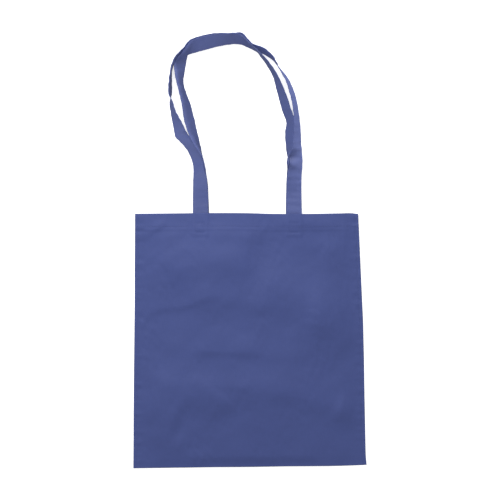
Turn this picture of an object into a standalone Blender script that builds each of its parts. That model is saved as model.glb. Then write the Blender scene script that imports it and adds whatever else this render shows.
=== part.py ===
"""Flat shopping bag of blue non-woven cloth with two long sewn handles.

The bag lies on its back panel, as it comes to rest: +X to its right side,
+Y from the bottom fold towards the mouth and the handles, +Z up through the
thickness.  The origin is the centre of the whole outline, on the surface the
bag lies on.  Metres throughout.
"""
import bpy
import bmesh
import math
from mathutils import Vector

MM = 0.001

# ----------------------------------------------------------------- dimensions
CLOTH = 0.45 * MM            # thickness of one layer of non-woven cloth
GAP = 0.30 * MM              # free gap between neighbouring layers
PITCH = CLOTH + GAP          # spacing of the middles of two folded layers
HEM = 27.0 * MM              # depth of the hem turned in at the mouth
HEM_STITCH = 21.5 * MM       # hem stitching, below the mouth edge
SEAM_IN = 5.5 * MM           # side seam stitching, in from the cut edges
HANDLE_W = 25.0 * MM         # handle strip, folded in two along its length
HANDLE_TUCK = 37.0 * MM      # how far a handle's end reaches below the mouth
THREAD = 0.4 * MM            # sewing thread
BOX_W, BOX_L = 12.5 * MM, 16.0 * MM   # stitched rectangle that holds a handle
CROWN = 11.0 * MM            # rise of the front panel where the bag is fullest
CROWN_MOUTH = 8.0 * MM       # the same at the mouth
FOLD_R = 1.1 * MM            # bottom fold, at the middle of the bag

# The outline was laid out on a sheet whose unit is 5/3 mm, with x to the
# right and y down the sheet.
UNIT = 5.0 / 3.0 * MM
SHEET_X, SHEET_Y = 249.5, 249.35      # the sheet point that becomes x = y = 0

MOUTH_Y = 213.0                       # mouth edge, sheet units
BOTTOM_L, BOTTOM_R = 467.7, 464.9     # bottom fold at the left, at the right


def at(px, py, z=0.0):
    """A point of the layout sheet, in metres."""
    return Vector(((px - SHEET_X) * UNIT, (SHEET_Y - py) * UNIT, z))


def smooth(t):
    t = min(1.0, max(0.0, t))
    return t * t * (3.0 - 2.0 * t)


def mix(a, b, t):
    return a + (b - a) * t


# ------------------------------------------------------------- scene clean-up
for old in list(bpy.data.objects):
    bpy.data.objects.remove(old, do_unlink=True)

bag = bpy.data.collections.new("nonwoven_bag")
bpy.context.scene.collection.children.link(bag)


def material(name, rgb, rough):
    m = bpy.data.materials.new(name)
    m.use_nodes = True
    b = m.node_tree.nodes["Principled BSDF"]
    b.inputs["Base Color"].default_value = (*rgb, 1.0)
    b.inputs["Roughness"].default_value = rough
    b.inputs["Metallic"].default_value = 0.0
    m.diffuse_color = (*rgb, 1.0)
    return m


def link(name, data, mat):
    ob = bpy.data.objects.new(name, data)
    data.materials.append(mat)
    bag.objects.link(ob)
    return ob


def cloth_grid(name, place, nu, nv, thick, mat):
    """An open sheet of nu by nv cells, moved cell corner by cell corner onto
    its folded shape, and then given its thickness."""
    bm = bmesh.new()
    bmesh.ops.create_grid(bm, x_segments=nu, y_segments=nv, size=0.5)
    xs = sorted({round(v.co.x, 5) for v in bm.verts})
    ys = sorted({round(v.co.y, 5) for v in bm.verts})
    assert len(xs) == nu + 1 and len(ys) == nv + 1
    ix = {x: i for i, x in enumerate(xs)}
    iy = {y: j for j, y in enumerate(ys)}
    for v in bm.verts:
        v.co = place(ix[round(v.co.x, 5)], iy[round(v.co.y, 5)])
    bm.normal_update()
    me = bpy.data.meshes.new(name)
    bm.to_mesh(me)
    bm.free()
    me.shade_smooth()
    me.set_sharp_from_angle(angle=math.radians(50))
    ob = link(name, me, mat)
    sol = ob.modifiers.new("cloth", 'SOLIDIFY')
    sol.thickness = thick
    sol.offset = 0.0
    sol.use_even_offset = True
    return ob


def thread_tube(name, points, mat, cyclic=False):
    """Sewing thread: a round tube along its row of stitches."""
    cu = bpy.data.curves.new(name, 'CURVE')
    cu.dimensions = '3D'
    cu.bevel_depth = THREAD / 2
    cu.bevel_resolution = 1
    cu.use_fill_caps = not cyclic
    sp = cu.splines.new('POLY')
    sp.points.add(len(points) - 1)
    for p, co in zip(sp.points, points):
        p.co = (co[0], co[1], co[2], 1.0)
    sp.use_cyclic_u = cyclic
    return link(name, cu, mat)


# ------------------------------------------------------------------- the bag
def left_edge(py):
    return mix(134.6, 133.0, (py - MOUTH_Y) / (BOTTOM_L - MOUTH_Y))


def right_edge(py):
    t = min(1.0, max(0.0, (py - MOUTH_Y) / (BOTTOM_R - MOUTH_Y)))
    return 357.6 + 8.4 * (1.0 - (1.0 - t) ** 1.5)


def bottom_edge(u):
    return mix(BOTTOM_L, BOTTOM_R, (u + 1.0) / 2.0)


def across(u, py):
    """Sheet x of the point a fraction u (-1 left, +1 right) across the bag."""
    a, b = left_edge(py), right_edge(py)
    return mix(a, b, (u + 1.0) / 2.0)


def fraction(px, py):
    a, b = left_edge(py), right_edge(py)
    return 2.0 * (px - a) / (b - a) - 1.0


SEAM_U = 1.0 - 2.0 * SEAM_IN / (228.0 * UNIT)


def front_height(u, py):
    """Middle of the front panel's cloth above the floor."""
    below = (py - MOUTH_Y) * UNIT
    # at the mouth two hems and a row of stitches lie between the panels
    hems = 1.0 - smooth((below - 30 * MM) / (28 * MM))
    edge = CLOTH / 2 + PITCH * (1.0 + 2.0 * hems) + (THREAD + GAP + 0.1 * MM) * hems
    v = min(1.0, abs(u) / SEAM_U)
    across_shape = (1.0 - v ** 2.4) ** 1.4
    up = (bottom_edge(u) - py) * UNIT
    rise = mix(2 * FOLD_R - PITCH, CROWN, smooth((up - 4 * MM) / (150 * MM)) ** 0.8)
    rise = mix(rise, CROWN_MOUTH, 1.0 - smooth(below / (110 * MM)))
    return edge + rise * across_shape


# stations across the cut sheet
side = [1.0, 0.985, SEAM_U, 0.93, 0.86, 0.76, 0.64, 0.52, 0.40, 0.27, 0.13]
U_AT = [-s for s in side] + [0.0] + side[::-1]

# stations along the cut sheet: front hem, mouth fold, front panel, bottom
# fold, back panel, mouth fold, back hem
V_AT = []
V_AT += [("front_hem", t) for t in (0.0, 0.22, 0.62)]
V_AT += [("front_turn", t) for t in (0.0, 0.25, 0.5, 0.75, 1.0)]
V_AT += [("front", t) for t in (0.03, 0.065, 0.10, 0.15, 0.21, 0.28, 0.36, 0.44,
                                0.53, 0.62, 0.71, 0.80, 0.88, 0.94, 0.975)]
V_AT += [("bottom", t) for t in (0.0, 0.167, 0.333, 0.5, 0.667, 0.833, 1.0)]
V_AT += [("back", t) for t in (0.03, 0.2, 0.5, 0.8, 0.95)]
V_AT += [("back_turn", t) for t in (0.0, 0.25, 0.5, 0.75, 1.0)]
V_AT += [("back_hem", t) for t in (0.38, 0.78, 1.0)]

TURN = PITCH / 2 + CLOTH / 2          # mouth fold: cloth's outside to its axis
HEM_END = MOUTH_Y + HEM / UNIT


def bag_point(i, j):
    u = U_AT[i]
    part, t = V_AT[j]
    turn_y = MOUTH_Y + TURN / UNIT
    low_y = bottom_edge(u)
    corner = smooth((1.0 - abs(u)) / 0.14)
    fold = mix(PITCH / 2, FOLD_R, corner)
    fold_y = low_y - (fold + CLOTH / 2) / UNIT
    if part == "front_hem":
        py = mix(HEM_END, turn_y, t)
        z = front_height(u, py) - PITCH
    elif part == "front_turn":
        a = math.radians(mix(-90.0, 90.0, t))
        py = turn_y - PITCH / 2 * math.cos(a) / UNIT
        z = front_height(u, turn_y) - PITCH / 2 + PITCH / 2 * math.sin(a)
    elif part == "front":
        py = mix(turn_y, fold_y, t)
        z = front_height(u, py)
    elif part == "bottom":
        a = math.radians(mix(90.0, 270.0, t))
        top, base = front_height(u, fold_y), CLOTH / 2
        py = fold_y - fold * math.cos(a) / UNIT
        z = (top + base) / 2 + (top - base) / 2 * math.sin(a)
    elif part == "back":
        py = mix(fold_y, turn_y, t)
        z = CLOTH / 2
    elif part == "back_turn":
        a = math.radians(mix(-90.0, 90.0, t))
        py = turn_y - PITCH / 2 * math.cos(a) / UNIT
        z = CLOTH / 2 + PITCH / 2 + PITCH / 2 * math.sin(a)
    else:
        py = mix(turn_y, HEM_END, t)
        z = CLOTH / 2 + PITCH
    return at(across(u, py), py, z)


cloth_blue = material("cloth_blue", (0.078, 0.100, 0.275), 0.78)
cloth_grid("bag_body", bag_point, len(U_AT) - 1, len(V_AT) - 1, CLOTH, cloth_blue)


# --------------------------------------------------------------- the handles
# A handle is a strip folded in two along its length and sewn flat, so its two
# layers lie tight together.  It stands partly on its folded edge.  Each station gives the folded edge (x, y), the open edge
# (x, y) and how far the folded edge is lifted off the floor, in mm.  The open
# edge's height follows from the strip's width.
HALF = HANDLE_W / 2
HANDLE_T = 1.2 * MM                   # two layers of cloth, sewn together

Z_BACK_IN = CLOTH + PITCH + GAP       # underside of a strip lying on the back hem
Z_FRONT_IN = min(front_height(fraction(px, py), py)
                 for px in (192.5, 301.3) for py in (213, 217, 222, 228, 236)) \
    - PITCH - CLOTH / 2 - GAP - HANDLE_T - 0.1 * MM
F_IN, B_IN = Z_FRONT_IN / MM, Z_BACK_IN / MM
TUCK_END = MOUTH_Y + HANDLE_TUCK / UNIT

FRONT_PATH = [
    (192.5, TUCK_END, 207.6, TUCK_END, F_IN),
    (192.5, 224.0, 207.6, 224.0, F_IN),
    (192.5, 213.0, 207.6, 213.0, F_IN),
    (192.5, 205.0, 207.6, 205.0, 4.0),
    (192.5, 196.0, 207.6, 196.0, 2.6),
    (192.6, 187.0, 207.6, 187.0, 2.8),
    (192.7, 178.0, 206.6, 178.0, 2.8),
    (193.0, 169.5, 203.6, 169.0, 1.8),
    (191.0, 161.0, 200.8, 158.8, 0.3),
    (188.2, 154.0, 197.2, 150.8, 0.1),
    (186.0, 149.6, 194.3, 145.4, 0.1),
    (181.6, 143.2, 191.2, 139.8, 0.1),
    (176.8, 138.2, 188.6, 135.2, 0.1),
    (174.6, 133.0, 185.8, 130.6, 0.1),
    (173.0, 126.5, 182.6, 125.2, 0.1),
    (171.7, 119.0, 179.2, 118.4, 0.1),
    (170.8, 111.0, 175.6, 110.8, 0.1),
    (170.3, 104.0, 172.8, 104.0, 0.1),
    (170.4, 98.0, 170.8, 98.0, 0.1),
    (171.2, 90.0, 168.6, 90.0, 0.1),
    (171.3, 80.0, 168.9, 80.0, 0.1),
    (171.5, 71.0, 169.9, 71.0, 0.1),
    (173.2, 64.0, 171.4, 63.0, 0.1),
    (177.6, 58.6, 174.6, 55.8, 0.1),
    (182.6, 55.2, 178.9, 51.4, 0.1),
    (187.2, 53.0, 184.2, 46.0, 0.1),
    (191.6, 51.9, 189.4, 40.2, 0.2),
    (199.6, 50.0, 197.4, 37.4, 0.3),
    (213.6, 46.4, 212.2, 33.6, 0.3),
    (227.6, 43.8, 227.6, 31.8, 0.3),
    (240.2, 43.4, 240.8, 33.0, 0.2),
    (247.6, 45.4, 248.0, 38.2, 0.1),
    (254.6, 48.2, 255.6, 44.2, 0.1),
    (259.8, 51.2, 261.8, 46.8, 0.1),
    (264.8, 54.0, 267.8, 50.4, 0.1),
    (269.8, 57.4, 272.4, 55.2, 0.1),
    (273.8, 61.0, 274.9, 60.1, 0.1),
    (276.6, 64.7, 276.7, 64.6, 0.1),
    (281.0, 70.3, 279.8, 71.0, 0.1),
    (286.4, 77.6, 284.0, 78.9, 0.1),
    (290.8, 86.0, 287.2, 87.4, 0.1),
    (294.1, 94.0, 289.7, 95.4, 0.1),
    (296.2, 103.0, 291.4, 104.0, 0.1),
    (297.8, 112.0, 293.1, 112.6, 0.1),
    (299.0, 121.0, 294.0, 121.3, 0.1),
    (300.0, 132.0, 294.2, 132.0, 0.1),
    (300.5, 142.0, 294.1, 142.0, 0.1),
    (301.0, 150.0, 293.8, 150.0, 0.2),
    (301.4, 156.0, 293.0, 156.0, 0.5),
    (301.5, 161.0, 290.6, 161.0, 1.6),
    (301.3, 166.0, 288.0, 166.0, 2.4),
    (301.1, 172.0, 286.5, 172.0, 2.5),
    (301.0, 181.0, 285.9, 181.0, 2.5),
    (301.0, 196.0, 285.9, 196.0, 2.5),
    (301.1, 205.0, 286.0, 205.0, 4.0),
    (301.2, 213.0, 286.1, 213.0, F_IN),
    (301.2, 224.0, 286.1, 224.0, F_IN),
    (301.2, TUCK_END, 286.1, TUCK_END, F_IN),
]

BACK_PATH = [
    (192.6, TUCK_END, 207.8, TUCK_END, B_IN),
    (192.6, 224.0, 207.8, 224.0, B_IN),
    (192.6, 213.0, 207.8, 213.0, B_IN),
    (192.6, 205.0, 207.8, 205.0, 1.1),
    (192.7, 197.0, 207.8, 197.0, 0.9),
    (193.0, 187.0, 208.0, 187.0, 0.9),
    (193.2, 180.0, 207.9, 180.0, 0.7),
    (194.6, 172.5, 206.6, 172.5, 0.3),
    (198.6, 165.5, 205.0, 165.0, 0.1),
    (201.6, 158.0, 201.8, 157.0, 0.1),
    (200.7, 150.5, 198.4, 150.8, 0.1),
    (199.1, 143.5, 194.4, 144.6, 0.1),
    (197.4, 136.0, 190.9, 137.8, 0.1),
    (195.5, 128.0, 187.6, 130.2, 0.1),
    (193.2, 118.0, 184.0, 120.2, 0.1),
    (190.2, 106.0, 182.1, 108.2, 0.1),
    (186.9, 96.0, 180.0, 97.6, 0.1),
    (183.5, 86.5, 177.2, 87.4, 0.1),
    (183.1, 78.0, 175.5, 78.0, 0.1),
    (184.3, 70.0, 174.3, 69.4, 0.1),
    (185.7, 62.6, 174.2, 61.6, 0.1),
    (186.7, 57.6, 177.0, 58.3, 0.1),
    (187.3, 55.4, 180.8, 53.4, 0.1),
    (188.4, 54.6, 185.2, 47.4, 0.4),
    (192.2, 53.4, 190.2, 41.4, 1.4),
    (199.8, 51.2, 197.8, 38.2, 2.4),
    (213.8, 47.4, 212.6, 34.4, 2.6),
    (227.8, 44.6, 227.8, 32.6, 2.4),
    (240.2, 44.4, 240.4, 34.2, 1.6),
    (247.2, 46.8, 247.8, 40.2, 0.6),
    (253.4, 49.8, 254.4, 46.8, 0.2),
    (257.6, 53.6, 258.6, 52.6, 0.1),
    (261.4, 58.0, 263.2, 56.5, 0.1),
    (265.6, 64.0, 268.4, 62.2, 0.1),
    (269.8, 71.0, 273.2, 69.2, 0.1),
    (273.0, 79.0, 278.0, 76.8, 0.1),
    (275.7, 88.0, 282.2, 85.6, 0.1),
    (278.3, 97.0, 285.6, 94.8, 0.1),
    (281.1, 107.0, 288.8, 104.8, 0.1),
    (284.2, 116.0, 291.6, 113.8, 0.1),
    (286.2, 123.0, 292.4, 121.9, 0.1),
    (286.1, 131.0, 292.7, 131.0, 0.1),
    (286.3, 139.0, 292.5, 139.0, 0.1),
    (287.6, 146.0, 291.8, 146.0, 0.1),
    (291.0, 151.5, 290.4, 151.5, 0.1),
    (296.4, 156.5, 289.0, 156.5, 0.1),
    (300.2, 161.5, 287.6, 161.5, 0.1),
    (301.0, 166.5, 286.6, 166.5, 0.5),
    (301.0, 173.0, 286.0, 173.0, 0.9),
    (301.0, 185.0, 285.9, 185.0, 0.9),
    (301.0, 197.0, 285.9, 197.0, 0.9),
    (301.1, 205.0, 286.0, 205.0, 1.1),
    (301.2, 213.0, 286.1, 213.0, B_IN),
    (301.2, 224.0, 286.1, 224.0, B_IN),
    (301.2, TUCK_END, 286.1, TUCK_END, B_IN),
]


def edges(station):
    """The folded edge and the open edge of the strip at one station."""
    x0, y0, x1, y1, lift = station
    a, b = at(x0, y0), at(x1, y1)
    wide = min((b - a).length, HANDLE_W)
    rise = math.sqrt(HANDLE_W ** 2 - wide ** 2)
    a.z = lift * MM + HANDLE_T / 2 * wide / HANDLE_W
    b.z = a.z + rise
    return a, b


def curve_through(points, k, t):
    """Point t of the way from points[k] to points[k + 1] on a smooth curve."""
    p1, p2 = points[k], points[k + 1]
    p0 = points[k - 1] if k > 0 else p1 * 2 - p2
    p3 = points[k + 2] if k + 2 < len(points) else p2 * 2 - p1
    d0 = max((p1 - p0).length, 1e-6) ** 0.5
    d1 = max((p2 - p1).length, 1e-6) ** 0.5
    d2 = max((p3 - p2).length, 1e-6) ** 0.5
    m1 = (p1 - p0) / d0 - (p2 - p0) / (d0 + d1) + (p2 - p1) / d1
    m2 = (p2 - p1) / d1 - (p3 - p1) / (d1 + d2) + (p3 - p2) / d2
    m1 *= d1
    m2 *= d1
    return (p1 * (2 * t ** 3 - 3 * t ** 2 + 1) + m1 * (t ** 3 - 2 * t ** 2 + t)
            + p2 * (-2 * t ** 3 + 3 * t ** 2) + m2 * (t ** 3 - t ** 2))


def strip_frames(path):
    """Middle and width direction all along a handle."""
    ends = [edges(s) for s in path]
    folded = [e[0] for e in ends]
    opened = [e[1] for e in ends]
    rows = []
    for k in range(len(path) - 1):
        step = ((folded[k + 1] + opened[k + 1]) - (folded[k] + opened[k])).length / 2
        turn = math.degrees((opened[k + 1] - folded[k + 1]).angle(opened[k] - folded[k]))
        n = max(1, round(step / (10 * MM)), math.ceil(turn / 6.0))
        for s in range(n):
            rows.append((k, s / n))
    rows.append((len(path) - 2, 1.0))
    mids, wides = [], []
    for k, t in rows:
        a = curve_through(folded, k, t)
        b = curve_through(opened, k, t)
        b.z = max(b.z, a.z)
        wides.append((b - a).normalized())
        # the folded edge keeps its place on the floor
        mids.append(a + wides[-1] * HALF)
    rows = list(zip(mids, wides))
    out = []
    for q, (mid, wide) in enumerate(rows):
        # the strip rests on the floor and doesn't pass through it
        face = face_at(rows, q, -HALF)
        low = mid.z - HALF * wide.z - HANDLE_T / 2 * abs(face.z)
        out.append((mid + Vector((0, 0, max(0.0, 0.1 * MM - low))), wide))
    return out


def face_at(rows, q, a):
    """The strip's own face normal at row q, a across from its middle."""
    ahead = rows[min(q + 1, len(rows) - 1)]
    behind = rows[max(q - 1, 0)]
    run = (ahead[0] + ahead[1] * a) - (behind[0] + behind[1] * a)
    return rows[q][1].cross(run.normalized()).normalized()


# across a handle, from its folded edge to its open edge
ACROSS_STRIP = [-HALF, -HALF / 2, 0.0, HALF / 2, HALF]


def handle(name, path, mat):
    rows = strip_frames(path)

    def place(i, j):
        mid, wide = rows[j]
        return mid + wide * ACROSS_STRIP[i]

    cloth_grid(name, place, len(ACROSS_STRIP) - 1, len(rows) - 1, HANDLE_T, mat)
    return rows


strap_blue = material("strap_blue", (0.095, 0.118, 0.300), 0.74)
front_rows = handle("front_handle", FRONT_PATH, strap_blue)
back_rows = handle("back_handle", BACK_PATH, strap_blue)


# -------------------------------------------------------------- the stitching
thread_blue = material("thread_blue", (0.060, 0.080, 0.230), 0.60)
ON_TOP = CLOTH / 2 + GAP + THREAD / 2


def above_front(px, py, extra=0.0):
    return at(px, py, front_height(fraction(px, py), py) + ON_TOP + extra)


# hem rows, from one side edge to the other
row_y = MOUTH_Y + HEM_STITCH / UNIT
hem_u = [-0.995, -0.985, -0.95, -0.88, -0.78, -0.66, -0.54, -0.42, -0.30, -0.15,
         0.0, 0.15, 0.30, 0.42, 0.54, 0.66, 0.78, 0.88, 0.95, 0.985, 0.995]
thread_tube("front_hem_thread",
            [above_front(across(u, row_y), row_y) for u in hem_u], thread_blue)

back_row = []
over_strip = B_IN * MM + HANDLE_T + GAP + THREAD / 2
on_hem = CLOTH + PITCH + GAP + THREAD / 2
for px in (136.0, 160.0, 185.0, 189.5, 191.5, 200.2, 208.9, 210.9, 230.0, 260.0,
           283.0, 285.0, 293.6, 302.3, 304.3, 330.0, 356.5):
    on_handle = 191.0 < px < 209.5 or 284.5 < px < 302.8
    back_row.append(at(px, row_y, over_strip if on_handle else on_hem))
thread_tube("back_hem_thread", back_row, thread_blue)

# side seams, through both panels from the mouth to the bottom fold
for name, u in (("left_seam_thread", -SEAM_U), ("right_seam_thread", SEAM_U)):
    seam = []
    for k in range(22):
        py = mix(MOUTH_Y + 1.2, bottom_edge(u) - 1.6, k / 21)
        seam.append(above_front(across(u, py), py, 0.75 * MM))
    thread_tube(name, seam, thread_blue)

# the stitched rectangle that holds each handle end
box_mid = MOUTH_Y + 24.0 * MM / UNIT
for name, px, front in (("front_left_box_thread", 200.0, True),
                        ("front_right_box_thread", 293.6, True),
                        ("back_left_box_thread", 200.2, False),
                        ("back_right_box_thread", 293.6, False)):
    loop = []
    for sx, sy, n in ((-1, -1, (1, 0)), (1, -1, (0, 1)), (1, 1, (-1, 0)), (-1, 1, (0, -1))):
        for k in range(3):
            x = px + (sx + n[0] * 2 * k / 3) * BOX_W / 2 / UNIT
            y = box_mid + (sy + n[1] * 2 * k / 3) * BOX_L / 2 / UNIT
            if front:
                loop.append(above_front(x, y, THREAD + GAP))
            else:
                loop.append(at(x, y, over_strip + THREAD + GAP))
    thread_tube(name, loop, thread_blue, cyclic=True)

# the row that closes each folded strip, near its open edge, on the side that
# faces away from the other handle
for name, rows, way in (("front_handle_thread", front_rows, 1),
                        ("back_handle_thread", back_rows, -1)):
    inside = 5
    off = way * (HANDLE_T / 2 + GAP + THREAD / 2 + 0.15 * MM)
    a = HALF - 3.5 * MM
    line = [rows[q][0] + rows[q][1] * a + face_at(rows, q, a) * off
            for q in range(inside, len(rows) - inside)]
    thread_tube(name, line, thread_blue)


# ------------------------------------------- origin at the outline's centre
bpy.context.view_layer.update()
graph = bpy.context.evaluated_depsgraph_get()
low = Vector((1e9, 1e9))
high = Vector((-1e9, -1e9))
for ob in bag.objects:
    seen = ob.evaluated_get(graph)
    me = seen.to_mesh()
    for v in me.vertices:
        p = ob.matrix_world @ v.co
        low.x, low.y = min(low.x, p.x), min(low.y, p.y)
        high.x, high.y = max(high.x, p.x), max(high.y, p.y)
    seen.to_mesh_clear()
mid = (low + high) / 2
for ob in bag.objects:
    ob.location.x -= mid.x
    ob.location.y -= mid.y
bpy.context.view_layer.update()
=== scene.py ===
import math

import bpy
import numpy as np
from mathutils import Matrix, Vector


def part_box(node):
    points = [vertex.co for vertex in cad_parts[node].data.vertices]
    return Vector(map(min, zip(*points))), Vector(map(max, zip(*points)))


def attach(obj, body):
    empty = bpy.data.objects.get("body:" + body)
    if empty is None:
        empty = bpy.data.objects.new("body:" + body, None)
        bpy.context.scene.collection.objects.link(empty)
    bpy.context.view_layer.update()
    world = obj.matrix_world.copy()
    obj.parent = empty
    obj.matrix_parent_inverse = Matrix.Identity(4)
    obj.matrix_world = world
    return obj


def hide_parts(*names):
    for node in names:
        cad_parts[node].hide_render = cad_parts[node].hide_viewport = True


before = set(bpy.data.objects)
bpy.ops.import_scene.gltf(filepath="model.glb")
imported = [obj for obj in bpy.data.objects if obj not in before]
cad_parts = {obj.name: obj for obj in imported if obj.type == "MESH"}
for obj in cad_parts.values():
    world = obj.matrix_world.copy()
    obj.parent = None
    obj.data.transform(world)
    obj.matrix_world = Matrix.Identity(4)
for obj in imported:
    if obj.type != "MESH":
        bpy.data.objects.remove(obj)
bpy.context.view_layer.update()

# Flat non-woven shopping bag, lying on its back panel, with its two handles
# spread above the mouth.  Metres; +X to the bag's right, +Y towards the mouth,
# +Z up.  The layout sheet's unit is 5/3 mm, x to the right and y down.
MM = 0.001
UNIT = 5.0 / 3.0 * MM
SHEET_X, SHEET_Y = 249.5, 249.35
CLOTH = 0.45 * MM
GAP = 0.30 * MM
PITCH = CLOTH + GAP
HEM = 27.0 * MM
HEM_STITCH = 21.5 * MM
SEAM_IN = 5.5 * MM
HANDLE_W = 25.0 * MM
HALF = HANDLE_W / 2
HANDLE_TUCK = 37.0 * MM
HANDLE_T = 1.2 * MM
BOX_W, BOX_L = 12.5 * MM, 16.0 * MM
CROWN = 9.5 * MM
CROWN_MOUTH = 7.5 * MM
FOLD_R = 1.1 * MM
THREAD = 0.4 * MM
STITCH = 3.2 * MM
CAMERA_UP = 5.0

# the CAD part's origin is the middle of the whole outline
_low, _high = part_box("bag_body")
SHIFT_X = _low.x - (133.0 - SHEET_X) * UNIT
SHIFT_Y = _low.y - (SHEET_Y - 467.7) * UNIT
SHIFT_X = SHIFT_X if abs(SHIFT_X) < 0.6 * MM else 0.0
SHIFT_Y = SHIFT_Y if abs(SHIFT_Y) < 1.5 * MM else 0.5 * MM


def at(px, py, z=0.0):
    """Points of the layout sheet, in metres, as an array of x, y, z."""
    px, py, z = np.broadcast_arrays(np.asarray(px, float), np.asarray(py, float),
                                    np.asarray(z, float))
    return np.stack([(px - SHEET_X) * UNIT + SHIFT_X,
                     (SHEET_Y - py) * UNIT + SHIFT_Y, z], axis=-1)


def smooth(t):
    t = np.clip(t, 0.0, 1.0)
    return t * t * (3.0 - 2.0 * t)


def mix(a, b, t):
    return a + (b - a) * t


def unit(v):
    return v / np.maximum(np.linalg.norm(v, axis=-1, keepdims=True), 1e-12)


def through(xs, ys):
    """A smooth curve y(x) through a few stations."""
    xs, ys = np.asarray(xs, float), np.asarray(ys, float)
    d = np.diff(ys) / np.diff(xs)
    m = np.concatenate([[d[0]], (d[:-1] + d[1:]) / 2, [d[-1]]])

    def value(x):
        x = np.clip(np.asarray(x, float), xs[0], xs[-1])
        k = np.clip(np.searchsorted(xs, x) - 1, 0, len(xs) - 2)
        h = xs[k + 1] - xs[k]
        t = (x - xs[k]) / h
        return (ys[k] * (2 * t ** 3 - 3 * t ** 2 + 1) + m[k] * h * (t ** 3 - 2 * t ** 2 + t)
                + ys[k + 1] * (-2 * t ** 3 + 3 * t ** 2) + m[k + 1] * h * (t ** 3 - t ** 2))
    return value


def ripple(seed, waves, low, high):
    """A smooth wandering curve: a sum of sines, wavelengths from low to high."""
    rng = np.random.RandomState(seed)
    length = np.exp(rng.uniform(math.log(low), math.log(high), waves))
    phase = rng.uniform(0, 2 * math.pi, waves)
    size = rng.uniform(0.5, 1.0, waves)
    size /= math.sqrt((size ** 2).sum() / 2)

    def value(x):
        x = np.asarray(x, float)
        return sum(a * np.sin(2 * math.pi * x / w + p)
                   for a, w, p in zip(size, length, phase))
    return value


def swell(seed, waves, low, high):
    """The same over the plane."""
    rng = np.random.RandomState(seed)
    length = np.exp(rng.uniform(math.log(low), math.log(high), waves))
    way = rng.uniform(0, math.pi, waves)
    phase = rng.uniform(0, 2 * math.pi, waves)
    size = rng.uniform(0.5, 1.0, waves) * length
    size /= math.sqrt((size ** 2).sum() / 2)

    def value(x, y):
        return sum(a * np.sin(2 * math.pi * (x * math.cos(d) + y * math.sin(d)) / w + p)
                   for a, w, d, p in zip(size, length, way, phase))
    return value


# ------------------------------------------------------------------- outline
left_edge = through([205, 216, 240, 270, 300, 340, 380, 420, 445, 470],
                    [134.7, 134.6, 134.45, 134.25, 134.2, 133.8, 133.4, 133.1, 133.0, 132.8])
right_edge = through([205, 216, 240, 260, 280, 300, 320, 340, 360, 380, 400, 420, 440, 455, 466],
                     [357.4, 357.8, 358.9, 359.8, 360.7, 361.6, 362.5, 363.0, 363.5, 363.8,
                      364.1, 364.5, 364.9, 365.3, 366.3])
mouth_edge = through([130, 160, 190, 230, 250, 270, 305, 340, 350, 356, 362],
                     [213.2, 213.0, 212.7, 212.5, 212.7, 213.3, 213.4, 212.8, 212.6, 213.2, 213.9])
bottom_edge = through([130, 140, 190, 210, 250, 290, 310, 340, 362, 368],
                      [467.9, 467.7, 467.0, 466.7, 466.4, 465.8, 465.7, 465.3, 464.5, 464.2])


def across(u, py):
    a, b = left_edge(py), right_edge(py)
    return mix(a, b, (u + 1.0) / 2.0)


def fraction(px, py):
    a, b = left_edge(py), right_edge(py)
    return 2.0 * (px - a) / (b - a) - 1.0


SEAM_U = 1.0 - 2.0 * SEAM_IN / (228.0 * UNIT)
HANDLES_AT = (200.0, 293.6)           # middles of the handle ends
BOX_MID = 213.0 + 24.0 * MM / UNIT
ROW_Y = 213.0 + HEM_STITCH / UNIT
HEM_END = 213.0 + HEM / UNIT
TUCK_END = 213.0 + HANDLE_TUCK / UNIT

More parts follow.
